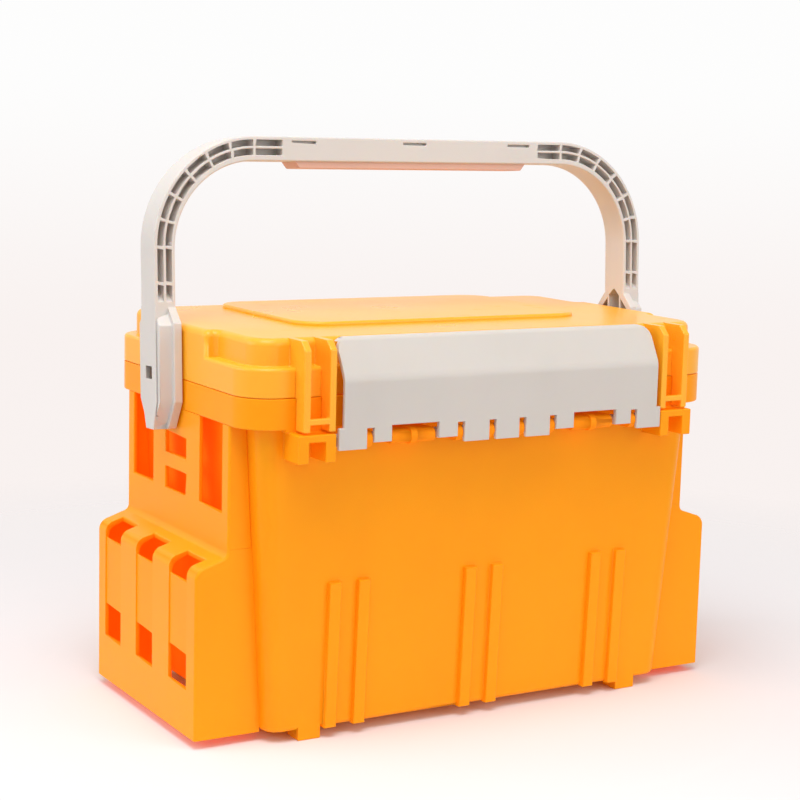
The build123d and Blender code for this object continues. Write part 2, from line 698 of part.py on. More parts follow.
with BuildPart() as handle:
    with BuildSketch(Plane.XZ.offset(-pivot_back)):
        with Locations((0, (bar_top + pivot_z) / 2)):
            Rectangle(2 * leg_outer, bar_top - pivot_z)
        fillet(vertices().group_by(Axis.Y)[-1], handle_bend)
    extrude(amount=leg_depth / 2, both=True)
    with BuildSketch(Plane.XZ.offset(-pivot_back)):
        with Locations((0, (bar_bottom + pivot_z) / 2)):
            Rectangle(2 * leg_inner, bar_bottom - pivot_z)
        fillet(vertices().group_by(Axis.Y)[-1], handle_bend - leg_thickness)
    extrude(amount=leg_depth, both=True, mode=Mode.SUBTRACT)
    fillet(edges().group_by(Axis.Y)[0] + edges().group_by(Axis.Y)[-1], handle_edge_round)

    # two rows of pockets in each face, from the grip round the bend and down the leg
    for row_inset in (handle_skin + pocket_width / 2, leg_thickness - handle_skin - pocket_width / 2):
        row_z = bar_top - row_inset
        row_x = leg_outer - row_inset
        for face in (-1, 1):
            with BuildSketch(Plane.XZ.offset(-pivot_back - face * handle_core / 2)):
                with BuildLine():
                    Line((grip_half_width, row_z), (bend_x, row_z))
                    RadiusArc((bend_x, row_z), (row_x, bend_z), handle_bend - row_inset)
                    Line((row_x, bend_z), (row_x, bend_z - sum(leg_pocket_lengths)))
                trace(line_width=pocket_width)
                mirror(about=Plane.YZ)
            extrude(amount=-face * leg_depth / 2, mode=Mode.SUBTRACT)

    # the lowest pockets run out on a ramp
    ramp_foot = bend_z - sum(leg_pocket_lengths)
    leg_middle = leg_outer - leg_thickness / 2
    with BuildSketch(Plane.YZ.offset(-leg_middle), Plane.YZ.offset(leg_middle)):
        with BuildLine():
            Polyline(
                (pivot_back - leg_depth / 2, ramp_foot),
                (pivot_back, ramp_foot + ramp_rise),
                (pivot_back + leg_depth / 2, ramp_foot),
                close=True,
            )
        make_face()
    extrude(amount=(leg_thickness - handle_skin) / 2, both=True)

    # ribs across the pockets
    with BuildSketch(Plane.XZ.offset(-pivot_back)):
        with Locations((bend_x, bend_z)):
            with PolarLocations(
                handle_bend - leg_thickness / 2, bend_pockets + 1, angular_range=90, endpoint=True
            ):
                Rectangle(leg_thickness - handle_skin, cross_rib)
        for number in range(1, len(leg_pocket_lengths)):
            with Locations((leg_middle, bend_z - sum(leg_pocket_lengths[:number]))):
                Rectangle(leg_thickness - handle_skin, cross_rib)
        mirror(about=Plane.YZ)
    extrude(amount=leg_depth / 2, both=True)

    # slits along the top of the grip, in both faces
    for face in (-1, 1):
        with BuildSketch(Plane.XZ.offset(-pivot_back - face * leg_depth / 2)):
            with Locations((0, bar_top - slit_drop - slit_height / 2)):
                with GridLocations(slit_spacing, 0, slit_count, 1):
                    Rectangle(slit_length, slit_height)
        extrude(amount=face * slit_depth, mode=Mode.SUBTRACT)

    for end in (-1, 1):
        # the paddle steps up in two levels to the strip that carries the leg on downwards
        inner_face = Plane((end * leg_inner, pivot_back, 0), x_dir=(0, end, 0), z_dir=(end, 0, 0))
        for level, thickness, inset, draft in (
            (0, paddle_base, 0, 0),
            (paddle_base, paddle_step, paddle_step_inset, paddle_draft),
        ):
            with BuildSketch(inner_face.offset(level)):
                with BuildLine():
                    Polyline(*paddle_corners, close=True)
                make_face()
                fillet(vertices().group_by(Axis.Y)[0], paddle_tip_round)
                if inset:
                    offset(amount=-inset, mode=Mode.REPLACE)
            extrude(amount=thickness, taper=draft)
        with BuildSketch(inner_face):
            with BuildLine():
                Polyline(*strip_corners, close=True)
            make_face()
        extrude(amount=leg_thickness)
        # seam beside the strip, and the small window in it
        with BuildSketch(inner_face.offset(paddle_base + paddle_step - seam_depth)):
            with BuildLine():
                Polyline(*strip_corners, close=True)
            make_face()
            offset(amount=seam_width, mode=Mode.REPLACE)
            with BuildLine():
                Polyline(*strip_corners, close=True)
            make_face(mode=Mode.SUBTRACT)
            with Locations((0, paddle_top)):
                Rectangle(leg_depth, 2 * overrun, mode=Mode.SUBTRACT)
        extrude(amount=seam_depth, mode=Mode.SUBTRACT)
        with BuildSketch(inner_face.offset(leg_thickness - strip_window_cut)):
            with Locations((0, pivot_z + strip_window_lift)):
                Rectangle(strip_window_depth, strip_window_height)
        extrude(amount=strip_window_cut, mode=Mode.SUBTRACT)
        # hollow behind the paddle, round the hub and two upright ribs
        with BuildSketch(inner_face):
            with BuildLine():
                Polyline(*hollow_corners, close=True)
            make_face()
            with Locations((0, pivot_z)):
                Circle(hub_diameter / 2, mode=Mode.SUBTRACT)
            with Locations((0, (pivot_z + hollow_peak) / 2)):
                with GridLocations(hub_rib_spacing, 0, 2, 1):
                    Rectangle(hub_rib, hollow_peak - pivot_z, mode=Mode.SUBTRACT)
        extrude(amount=paddle_base + paddle_step - paddle_skin, mode=Mode.SUBTRACT)
        with BuildSketch(inner_face):
            with Locations((0, pivot_z)):
                Circle(pivot_pin_diameter / 2 + pin_clearance)
        extrude(amount=pivot_pin_reach + seat_clearance, mode=Mode.SUBTRACT)
handle.part = leaned(handle.part)
handle.part.label = "handle"

# Grip under the bar of the handle, with bevelled ends
with BuildPart() as handle_grip:
    with BuildSketch(Plane.XZ.offset(-pivot_back)):
        with BuildLine():
            Polyline(
                (grip_half_width - grip_side_margin, bar_bottom),
                (grip_half_width - grip_side_margin - grip_end_chamfer, bar_bottom - grip_height),
                (-grip_half_width + grip_side_margin + grip_end_chamfer, bar_bottom - grip_height),
                (-grip_half_width + grip_side_margin, bar_bottom),
                close=True,
            )
        make_face()
    extrude(amount=grip_depth / 2, both=True)
handle_grip.part = leaned(handle_grip.part)
handle_grip.part.label = "handle_grip"

# Pivot pins, headed behind the rim, and the washers that they pass through
with BuildPart() as right_pivot_pin:
    with BuildSketch(Plane.YZ.offset(rim_half_width - wall)):
        with Locations((pivot_back, pivot_z)):
            Circle(pivot_head_diameter / 2)
    extrude(amount=-pivot_head_thickness)
    with BuildSketch(Plane.YZ.offset(rim_half_width - wall)):
        with Locations((pivot_back, pivot_z)):
            Circle(pivot_pin_diameter / 2)
    extrude(amount=leg_inner + pivot_pin_reach - rim_half_width + wall)
right_pivot_pin.part.label = "right_pivot_pin"

with BuildPart() as left_pivot_pin:
    mirror(right_pivot_pin.part, about=Plane.YZ)
left_pivot_pin.part.label = "left_pivot_pin"

with BuildPart() as right_pivot_washer:
    with BuildSketch(Plane.YZ.offset(rim_half_width)):
        with Locations((pivot_back, pivot_z)):
            Circle(washer_diameter / 2)
            Circle(pivot_pin_diameter / 2 + pin_clearance, mode=Mode.SUBTRACT)
    extrude(amount=washer_thickness)
right_pivot_washer.part.label = "right_pivot_washer"

with BuildPart() as left_pivot_washer:
    mirror(right_pivot_washer.part, about=Plane.YZ)
left_pivot_washer.part.label = "left_pivot_washer"

# Lift-out tray on its ledges, with pairs of guides for its dividers
tray_inner_depth = tray_half_depth - tray_wall
with BuildPart() as lift_out_tray:
    with BuildSketch(Plane.XY.offset(tray_bottom)):
        RectangleRounded(2 * tray_half_width, 2 * tray_half_depth, tray_corner)
    extrude(amount=tray_height)
    with BuildSketch(Plane.XY.offset(tray_floor)):
        RectangleRounded(2 * (tray_half_width - tray_wall), 2 * tray_inner_depth, tray_corner - tray_wall)
    extrude(amount=tray_height, mode=Mode.SUBTRACT)
    guide_pitch = tray_divider_thickness + 2 * seat_clearance + guide_width
    with BuildSketch(Plane.XY.offset(tray_floor)):
        for place in tray_divider_places:
            with Locations((place, 0)):
                with GridLocations(guide_pitch, 2 * tray_half_depth - tray_wall - guide_depth, 2, 2):
                    Rectangle(guide_width, guide_depth)
    extrude(amount=tray_height - tray_wall - tray_divider_drop)
lift_out_tray.part.label = "lift_out_tray"

tray_divider_parts = []
for number, place in enumerate(tray_divider_places):
    with BuildPart() as tray_divider:
        with BuildSketch(Plane.XY.offset(tray_floor)):
            with Locations((place, 0)):
                Rectangle(tray_divider_thickness, 2 * (tray_inner_depth - seat_clearance))
        extrude(amount=tray_height - tray_wall - tray_divider_drop)
    tray_divider.part.label = f"tray_divider_{number + 1}"
    tray_divider_parts.append(tray_divider.part)

# Dividers that stand on the tub's floor and follow its drafted walls
floor_divider_parts = []
for number, place in enumerate(floor_divider_places):
    with BuildPart() as floor_divider:
        with BuildSketch(Plane.YZ.offset(place)):
            with BuildLine():
                Polyline(
                    (tub_half_depth(floor_top) - wall - seat_clearance, floor_top),
                    (tub_half_depth(guide_top) - wall - seat_clearance, guide_top),
                    (-tub_half_depth(guide_top) + wall + seat_clearance, guide_top),
                    (-tub_half_depth(floor_top) + wall + seat_clearance, floor_top),
                    close=True,
                )
            make_face()
        extrude(amount=floor_divider_thickness / 2, both=True)
    floor_divider.part.label = f"floor_divider_{number + 1}"
    floor_divider_parts.append(floor_divider.part)

# One file for each piece, under its own name
pieces = [
    tub.part,
    left_window_panel.part,
    right_window_panel.part,
    left_socket.part,
    right_socket.part,
    lid.part,
    latch.part,
    latch_hinge_pin.part,
    left_lid_hinge_pin.part,
    right_lid_hinge_pin.part,
    handle.part,
    handle_grip.part,
    left_pivot_pin.part,
    right_pivot_pin.part,
    left_pivot_washer.part,
    right_pivot_washer.part,
    lift_out_tray.part,
    *tray_divider_parts,
    *floor_divider_parts,
]
os.makedirs("parts", exist_ok=True)
for piece in pieces:
    export_step(piece, f"parts/{piece.label}.step")
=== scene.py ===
"""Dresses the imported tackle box: softened mouldings, procedural plastics and steel, and a pale studio."""

import json
from collections import namedtuple
from itertools import combinations
from math import radians

import bmesh
import bpy
from bpy.props import FloatProperty, FloatVectorProperty, PointerProperty
from mathutils import Matrix, Vector
from mathutils.bvhtree import BVHTree
from mathutils.geometry import intersect_point_line


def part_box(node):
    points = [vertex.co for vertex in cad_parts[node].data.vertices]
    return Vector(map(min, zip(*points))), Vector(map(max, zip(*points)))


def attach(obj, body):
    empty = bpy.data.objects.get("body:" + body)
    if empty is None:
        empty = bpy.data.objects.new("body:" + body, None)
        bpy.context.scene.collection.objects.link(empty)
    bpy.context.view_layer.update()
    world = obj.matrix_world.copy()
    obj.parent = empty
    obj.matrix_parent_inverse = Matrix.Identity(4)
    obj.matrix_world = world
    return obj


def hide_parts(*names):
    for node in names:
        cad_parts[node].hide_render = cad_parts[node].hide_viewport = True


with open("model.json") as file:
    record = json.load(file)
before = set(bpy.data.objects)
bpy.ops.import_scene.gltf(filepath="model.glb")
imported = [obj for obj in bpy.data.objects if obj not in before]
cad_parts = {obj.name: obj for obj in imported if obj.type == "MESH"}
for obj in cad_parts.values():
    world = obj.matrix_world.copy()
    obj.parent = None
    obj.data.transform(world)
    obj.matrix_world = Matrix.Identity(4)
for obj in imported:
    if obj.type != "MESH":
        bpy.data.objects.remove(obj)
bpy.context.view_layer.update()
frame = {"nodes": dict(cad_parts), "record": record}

bl_info = {
    "name": "Tackle box",
    "version": (1, 0, 0),
    "blender": (4, 5, 0),
    "location": "View3D > Sidebar > Tackle box",
    "description": "Softens and paints the pieces of a tackle box, and sets up its studio",
    "category": "Object",
}


class TackleBoxMouldings(bpy.types.PropertyGroup):
    """Colours and edges of the moulded pieces."""

    tub_colour: FloatVectorProperty(
        name="Tub colour", description="Orange of the tub and its sleeves", subtype="COLOR", size=3,
        min=0.0, max=1.0, default=(1.0, 0.355, 0.005),
    )
    # Painted light: a lighter, yellower copy of the tub's orange, for the lid that takes the strongest light
    # from above.
    lid_lit_colour: FloatVectorProperty(
        name="Lid colour", description="Slightly yellower orange of the lid", subtype="COLOR", size=3,
        min=0.0, max=1.0, default=(1.0, 0.45, 0.022),
    )
    # Painted shade: deep orange put into the slots, windows and the carriers behind the latch, in place of
    # the light that bounces around in the orange shade there. It is also the colour of the painted glow.
    recess_shade_colour: FloatVectorProperty(
        name="Recess colour", description="Deep orange that the plastic shows in its slots and windows",
        subtype="COLOR", size=3, min=0.0, max=1.0, default=(1.0, 0.21, 0.0),
    )
    # A painted glow: the orange pieces give off a little light of their own, most of all in the slots and
    # windows, in place of the light that comes through their thin walls.
    glow: FloatProperty(
        name="Glow", description="Light that comes through the walls, most of all into the slots and windows",
        min=0.0, max=1.0, default=0.2,
    )
    skin_share: FloatProperty(
        name="Skin share", description="Share of the glow that the outer faces have",
        min=0.0, max=1.0, default=0.4,
    )
    latch_colour: FloatVectorProperty(
        name="Latch colour", description="Warm grey of the latch", subtype="COLOR", size=3,
        min=0.0, max=1.0, default=(0.65, 0.60, 0.55),
    )
    handle_colour: FloatVectorProperty(
        name="Handle colour", description="Pale grey of the handle", subtype="COLOR", size=3,
        min=0.0, max=1.0, default=(0.71, 0.665, 0.625),
    )
    # Painted light: the grip's grey is warmed with the orange light that bounces up onto it from the lid.
    grip_bounce_colour: FloatVectorProperty(
        name="Grip colour", description="Warm grey of the strip under the handle's bar",
        subtype="COLOR", size=3, min=0.0, max=1.0, default=(0.76, 0.46, 0.36),
    )
    tray_colour: FloatVectorProperty(
        name="Tray colour", description="Pale grey of the tray and dividers", subtype="COLOR", size=3,
        min=0.0, max=1.0, default=(0.66, 0.64, 0.60),
    )
    washer_colour: FloatVectorProperty(
        name="Washer colour", description="Dark plastic of the pivot washers", subtype="COLOR", size=3,
        min=0.0, max=1.0, default=(0.035, 0.034, 0.033),
    )
    steel_colour: FloatVectorProperty(
        name="Steel colour", description="Turned steel of the hinge and pivot pins", subtype="COLOR", size=3,
        min=0.0, max=1.0, default=(0.56, 0.55, 0.53),
    )
    shell_edge: FloatProperty(
        name="Shell edge", description="Width of the rounding on the shell's edges", unit="LENGTH",
        min=0.0, max=0.002, default=0.0008,
    )
    trim_edge: FloatProperty(
        name="Trim edge", description="Width of the rounding on the trim's edges", unit="LENGTH",
        min=0.0, max=0.002, default=0.0006,
    )


class TackleBoxStudio(bpy.types.PropertyGroup):
    """Camera, light and floor."""

    eye: FloatVectorProperty(
        name="Eye", description="Where the camera stands", subtype="XYZ", unit="LENGTH", size=3,
        default=(-0.7192, -1.1983, 0.4272),
    )
    gaze: FloatVectorProperty(
        name="Gaze", description="Direction that the camera looks in", subtype="DIRECTION", size=3,
        default=(0.5035, 0.8509, -0.1495),
    )
    roll: FloatProperty(
        name="Roll", description="Turn of the camera about its gaze", subtype="ANGLE", default=radians(1.5),
    )
    lens: FloatProperty(
        name="Lens", description="Focal length on a 36 mm sensor", subtype="DISTANCE_CAMERA", default=83.9,
    )
    backdrop_colour: FloatVectorProperty(
        name="Backdrop colour", description="Near-white at the top of the backdrop", subtype="COLOR", size=3,
        min=0.0, max=1.0, default=(0.985, 0.983, 0.98),
    )
    haze_colour: FloatVectorProperty(
        name="Haze colour", description="Rosy white that the floor fades to", subtype="COLOR", size=3,
        min=0.0, max=1.0, default=(0.945, 0.885, 0.868),
    )
    floor_colour: FloatVectorProperty(
        name="Floor colour", description="Pale floor under the box", subtype="COLOR", size=3,
        min=0.0, max=1.0, default=(0.885, 0.868, 0.885),
    )
    fade_start: FloatProperty(
        name="Fade start", description="How far from its middle the floor starts to fade", unit="LENGTH",
        min=0.0, default=0.28,
    )
    fade_end: FloatProperty(
        name="Fade end", description="How far from its middle the floor has faded out", unit="LENGTH",
        min=0.0, default=0.85,
    )
    sky_strength: FloatProperty(name="Sky", description="Strength of the even light", min=0.0, default=0.5)
    key_power: FloatProperty(
        name="Key", description="Power of the large lamp above", unit="POWER", min=0.0, default=25.0,
    )
    fill_power: FloatProperty(
        name="Fill", description="Power of the lamp on the right", unit="POWER", min=0.0, default=9.0,
    )
    side_power: FloatProperty(
        name="Side", description="Power of the lamp on the left", unit="POWER", min=0.0, default=11.0,
    )


class Wire:
    """A socket of a node tree that maths can be written with."""

    def __init__(self, paint, socket):
        self.paint = paint
        self.socket = socket

    def maths(self, operation, first, second):
        return self.paint.node("ShaderNodeMath", {"operation": operation}, {0: first, 1: second})

    def __add__(self, other):
        return self.maths("ADD", self, other)

    __radd__ = __add__

    def __mul__(self, other):
        return self.maths("MULTIPLY", self, other)

    __rmul__ = __mul__

    def __sub__(self, other):
        return self.maths("SUBTRACT", self, other)

    def __rsub__(self, other):
        return self.maths("SUBTRACT", other, self)

    def __abs__(self):
        return self.maths("ABSOLUTE", self, 0.0)

    def least(self, other):
        return self.maths("MINIMUM", self, other)

    def most(self, other):
        return self.maths("MAXIMUM", self, other)


class Paint:
    """The nodes of one procedural finish, or of the world."""

    def __init__(self, owner):
        owner.use_nodes = True
        self.owner = owner
        self.tree = owner.node_tree
        self.tree.nodes.clear()

    def node(self, kind, settings, values, output=0):
        """Adds a node, sets it up, fills or links its sockets and gives one output back."""
        made = self.tree.nodes.new(kind)
        for key, value in settings.items():
            if key == "stops":
                ramp = made.color_ramp
                while len(ramp.elements) < len(value):
                    ramp.elements.new(1.0)
                for element, (place, colour) in zip(ramp.elements, value):
                    element.position = place
                    element.color = (*colour, 1.0)
            elif key == "easing":
                made.color_ramp.interpolation = value
            else:
                setattr(made, key, value)
        for key, value in values.items():
            if isinstance(value, Wire):
                self.tree.links.new(value.socket, made.inputs[key])
            else:
                made.inputs[key].default_value = value
        return Wire(self, made.outputs[output]) if len(made.outputs) else None

    def place(self, stretch=(1.0, 1.0, 1.0)):
        """Object coordinates, stretched along the axes."""
        spot = self.node("ShaderNodeTexCoord", {}, {}, "Object")
        return self.node("ShaderNodeMapping", {}, {"Vector": spot, "Scale": stretch})

    def axes(self):
        """Object coordinates, one by one."""
        spot = self.node("ShaderNodeTexCoord", {}, {}, "Object")
        return [self.node("ShaderNodeSeparateXYZ", {}, {"Vector": spot}, axis) for axis in ("X", "Y", "Z")]

    def blend(self, factor, first, second):
        """A colour between two others, by the colour sockets of a Mix node."""
        return self.node("ShaderNodeMix", {"data_type": "RGBA"}, {0: factor, 6: first, 7: second}, 2)

    def noise(self, scale, detail=3.0, stretch=(1.0, 1.0, 1.0)):
        """Noise from 0 to 1 at a number of lumps to the metre."""
        return self.node(
            "ShaderNodeTexNoise", {}, {"Vector": self.place(stretch), "Scale": scale, "Detail": detail}, "Fac"
        )

    def ramp(self, factor, stops, easing="LINEAR"):
        """A colour that runs through some stops."""
        settings = {"stops": stops, "easing": easing}
        return self.node("ShaderNodeValToRGB", settings, {"Fac": factor}, "Color")

    def span(self, factor, low, high, to_low, to_high):
        """Carries a value from one range to another."""
        return self.node(
            "ShaderNodeMapRange", {}, {"Value": factor, 1: low, 2: high, 3: to_low, 4: to_high}, "Result"
        )

    def rise(self, factor, start, width):
        """0 as far as the start, then up to 1 over the width."""
        return self.span(factor, start, start + width, 0.0, 1.0)

    def fall(self, factor, start, width):
        """1 as far as the start, then down to 0 over the width."""
        return self.span(factor, start, start + width, 1.0, 0.0)

    def bump(self, height, depth):
        """A normal that follows a height, which is up to the depth in metres."""
        return self.node(
            "ShaderNodeBump", {}, {"Height": height, "Strength": 1.0, "Distance": depth}, "Normal"
        )

    def surface(self, values):
        """Ends the finish with one shader and gives its material back."""
        shader = self.node("ShaderNodeBsdfPrincipled", {}, values, "BSDF")
        self.node("ShaderNodeOutputMaterial", {}, {"Surface": shader})
        return self.owner


def shade(colour, share):
    """A colour made darker or lighter by a share."""
    return tuple(min(1.0, part * share) for part in colour)


# The tub's end walls stand this far out at the floor, and lean out by this much for each metre of height.
WALL_FOOT = 0.1655
WALL_SLOPE = 0.0596
# A socket's shoulder starts this far under the panel's foot, and falls by this much for each metre outwards.
SHOULDER_DROP = 0.005
SHOULDER_SLOPE = 0.34
# How deep the outer colour of the window panels and sockets goes, before the painted shade starts.
SKIN = 0.0005
# The carriers reach this far behind the latch's pin, and get this share of the deep orange as painted shade.
CARRIER_SETBACK = 0.003
CARRIER_SHADE_SHARE = 0.5

# The handle's legs lean back by this much for each metre of height.
LEG_SLOPE = 0.0524
# The strip that each leg carries on down its paddle, from the pivot: the height of its foot, half its width
# there and higher up, and how fast it widens.
STRIP_FOOT = -0.025
STRIP_FOOT_HALF = 0.0065
STRIP_HALF = 0.0125
STRIP_FLARE = 0.3
# The groove beside the strip, which is painted dark as shade: the height of its middle, half its length, how
# far from the strip it starts and ends, and its depth.
GROOVE_MIDDLE = 0.0155
GROOVE_HALF = 0.030
GROOVE_START = 0.0001
GROOVE_END = 0.001
GROOVE_DEPTH = 0.0041
# The strip's small window, which is painted dark as shade: the height of its middle, half its width, half its
# height, and the depth that the painted shade starts from.
WINDOW_MIDDLE = 0.015
WINDOW_HALF_WIDTH = 0.0053
WINDOW_HALF_HEIGHT = 0.0046
WINDOW_DEPTH = 0.001


def sleeve_depth(paint):
    """How far a point lies under the outer skin of the window panels and sockets."""
    x, y, z = paint.axes()
    panel_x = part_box("right_window_panel")[1][0]
    panel_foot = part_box("right_window_panel")[0][2]
    socket_x, socket_y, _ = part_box("right_socket")[1]
    shoulder = panel_foot - SHOULDER_DROP - (abs(x) - panel_x) * SHOULDER_SLOPE
    return (socket_x - abs(x)).least((panel_x - abs(x)).most(shoulder - z)).least(socket_y - abs(y))


def tub_shade_mask(paint):
    """Where shade is painted on the tub: its end walls, as far as the sleeves cover them, and in part the
    carriers behind the latch.
    """
    x, y, z = paint.axes()
    wall = paint.rise(abs(x) - z * WALL_SLOPE, WALL_FOOT, width=0.001)
    covered = wall * paint.rise(sleeve_depth(paint), SKIN, width=0.0035)
    latch_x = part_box("latch")[1][0]
    pin_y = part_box("latch_hinge_pin")[1][1]
    carriers = paint.fall(abs(x), latch_x, width=0.0005) * paint.fall(y, pin_y + CARRIER_SETBACK, width=0.002)
    return covered.most(carriers * CARRIER_SHADE_SHARE)


def sleeve_shade_mask(paint):
    """The inner faces of the window panels and sockets, where shade is painted in deep orange."""
    return paint.rise(sleeve_depth(paint), SKIN, width=0.0025)


def paddle_shade_mask(paint):
    """The groove beside the strip that each leg carries on down its paddle, and the strip's small window,
    where shade is painted.
    """
    x, y, z = paint.axes()
    leg_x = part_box("handle")[1][0]
    low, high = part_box("left_pivot_pin")
    pivot_y, pivot_z = (low[1] + high[1]) / 2, (low[2] + high[2]) / 2
    off_middle = abs(y - pivot_y - (z - pivot_z) * LEG_SLOPE)
    strip = ((z - (pivot_z + STRIP_FOOT)) * STRIP_FLARE + STRIP_FOOT_HALF).least(STRIP_HALF)
    inner = paint.rise(off_middle - strip, GROOVE_START, width=0.0002)
    outer = paint.fall(off_middle - strip, GROOVE_END, width=0.0003)
    length = paint.fall(abs(z - (pivot_z + GROOVE_MIDDLE)), GROOVE_HALF, width=0.0005)
    groove = inner * outer * length * paint.rise(abs(x), leg_x - GROOVE_DEPTH, width=0.0002)
    width = paint.fall(off_middle, WINDOW_HALF_WIDTH, width=0.0003)
    height = paint.fall(abs(z - (pivot_z + WINDOW_MIDDLE)), WINDOW_HALF_HEIGHT, width=0.0003)
    depth = paint.fall(abs(x), leg_x - WINDOW_DEPTH, width=0.0006)
    return groove.most(width * height * depth)


# How rough and shiny a plastic is, the height of its grain in metres, and how far its colour drifts.
Look = namedtuple("Look", "roughness shine grain mottle")
TUB_LOOK = Look(roughness=0.36, shine=0.16, grain=0.00003, mottle=0.05)
LID_LOOK = Look(roughness=0.3, shine=0.42, grain=0.00003, mottle=0.05)
LATCH_LOOK = Look(roughness=0.4, shine=0.4, grain=0.00004, mottle=0.04)
HANDLE_LOOK = Look(roughness=0.44, shine=0.4, grain=0.00004, mottle=0.04)
GRIP_LOOK = Look(roughness=0.5, shine=0.3, grain=0.00005, mottle=0.05)
TRAY_LOOK = Look(roughness=0.42, shine=0.4, grain=0.00003, mottle=0.05)
WASHER_LOOK = Look(roughness=0.5, shine=0.4, grain=0.00003, mottle=0.15)
# Light spreads a little under the skin of every moulding.
SCATTER = {"Subsurface Weight": 0.2, "Subsurface Radius": (1.0, 0.45, 0.2), "Subsurface Scale": 0.003}
PLASTIC_IOR = 1.49
# The height of the rings that turning leaves on the pins.
STEEL_RINGS = 0.00002
UNLIT = (0.0, 0.0, 0.0)
# The share of the handle's grey that is left where shade is painted into its groove and window.
GAP_SHADE = 0.12
# The roughness drifts by this much either way, rub marks add this much to it, and recesses this much.
ROUGH_DRIFT = 0.035
RUB_ROUGHNESS = 0.06
RECESS_ROUGHNESS = 0.5


def moulded_plastic(name, colour, look, glow_colour=UNLIT, recess=None, deep=UNLIT):
    """Moulded plastic: slow drift of colour, spark-eroded grain, fine rub marks, light spread under its skin
    and a painted glow.

    The recess gives the mask of the places where shade is painted in the deep colour.
    """
    mouldings = bpy.context.scene.tackle_box_mouldings
    paint = Paint(bpy.data.materials.new(name))
    drift = paint.noise(scale=9.0, detail=2.0)
    flow = paint.noise(scale=38.0, detail=4.0, stretch=(1.0, 1.0, 0.35))
    dark, light = shade(colour, 1.0 - look.mottle), shade(colour, 1.0 + look.mottle * 0.6)
    tone = paint.ramp(drift * 0.65 + flow * 0.35, [(0.3, dark), (0.5, colour), (0.72, light)])
    rubs = paint.rise(paint.noise(scale=60.0, detail=6.0, stretch=(1.0, 1.0, 12.0)), 0.62, width=0.12)
    smoothest, roughest = look.roughness - ROUGH_DRIFT, look.roughness + ROUGH_DRIFT
    rough = paint.span(drift, 0.3, 0.7, smoothest, roughest) + rubs * RUB_ROUGHNESS
    grain = paint.noise(scale=1500.0, detail=1.0) * 0.7 + paint.noise(scale=420.0, detail=2.0) * 0.3
    # The painted glow, weaker on the outer faces.
    skin = (*shade(glow_colour, mouldings.skin_share), 1.0)
    values = {
        "Base Color": tone, "Roughness": rough, "Normal": paint.bump(grain, look.grain),
        "IOR": PLASTIC_IOR, "Specular IOR Level": look.shine,
        "Emission Color": skin, "Emission Strength": mouldings.glow, **SCATTER,
    }
    # Painted shade: inside the mask the colour and the glow turn to the deep colour.
    if recess:
        mask = recess(paint)
        values["Base Color"] = paint.blend(mask, tone, (*deep, 1.0))
        values["Roughness"] = rough + mask * RECESS_ROUGHNESS
        values["Emission Color"] = paint.blend(mask, skin, (*deep, 1.0))
    return paint.surface(values)


def turned_steel(name, colour):
    """Drawn steel rod: fine rings and lengthwise scratches."""
    paint = Paint(bpy.data.materials.new(name))
    rings = paint.noise(scale=900.0, detail=3.0, stretch=(3.0, 0.3, 0.3))
    scratches = paint.noise(scale=1400.0, detail=2.0, stretch=(0.05, 1.0, 1.0))
    tone = paint.ramp(rings, [(0.25, shade(colour, 0.82)), (0.75, shade(colour, 1.1))])
    rough = paint.span(scratches, 0.3, 0.7, 0.24, 0.4)
    normal = paint.bump(rings, STEEL_RINGS)
    return paint.surface({"Base Color": tone, "Metallic": 1.0, "Roughness": rough, "Normal": normal})


def body_of_node(name):
    """The body that a CAD node belongs to."""
    for body, members in frame["record"]["behaviour"]["bodies"].items():
        if name in members:
            return body
    raise ValueError(f"no body holds {name}")


# Corners nearer than this are one, and faces that meet at a smaller angle than this are one face.
MERGE_GAP = 0.000002
FLAT_ANGLE = radians(0.4)
# Edges sharper than this are rounded, in this number of steps, and what stays sharper is shaded as a crease.
EDGE_ANGLE = radians(32.0)
EDGE_STEPS = 3
CREASE_ANGLE = radians(31.0)
# A face has room for a rounding when it is this many times as wide, on the whole and at its narrowest.
ROOM = 2.0
NARROW_ROOM = 2.2
# A face's width is measured about this often along an edge, and what is nearer than this is the edge itself.
MEASURE_STEP = 0.002
TOUCHING = 0.000001
# Roundings within this many widths of a tangle are left out, and a piece gets this many new tries.
TANGLE_REACH = 1.5
TRIES = 5


def narrowest(loop, steps):
    """How wide a face is across one of its edges, at its narrowest."""
    start = loop.vert.co
    along = loop.link_loop_next.vert.co - start
    length = along.length
    along.normalize()
    inward = loop.face.normal.cross(along)
    outline = [
        ((corner.co - start).dot(along), (corner.co - start).dot(inward)) for corner in loop.face.verts
    ]
    width = length
    for step in range(steps):
        here = length * (step + 0.5) / steps
        for (u, v), (next_u, next_v) in zip(outline, outline[1:] + outline[:1]):
            if (u - here) * (next_u - here) < 0.0:
                across = v + (next_v - v) * (here - u) / (next_u - u)
                if across > TOUCHING:
                    width = min(width, across)
    return width


def has_room(edge, width):
    """Whether both faces of an edge are wide enough all along it for its rounding."""
    steps = 3 + int(edge.calc_length() / MEASURE_STEP)
    return all(
        loop.face.calc_area() / max(side.calc_length() for side in loop.face.edges) > ROOM * width
        and narrowest(loop, steps) > NARROW_ROOM * width
        for loop in edge.link_loops
    )


def side_of(first, last, spot):
    """Which side of a line a flat spot is on."""
    return (last[0] - first[0]) * (spot[1] - first[1]) - (last[1] - first[1]) * (spot[0] - first[0])


def cross(a, b, c, d):
    """Whether two flat lines, a to b and c to d, cross."""
    return side_of(a, b, c) * side_of(a, b, d) < 0.0 and side_of(c, d, a) * side_of(c, d, b) < 0.0


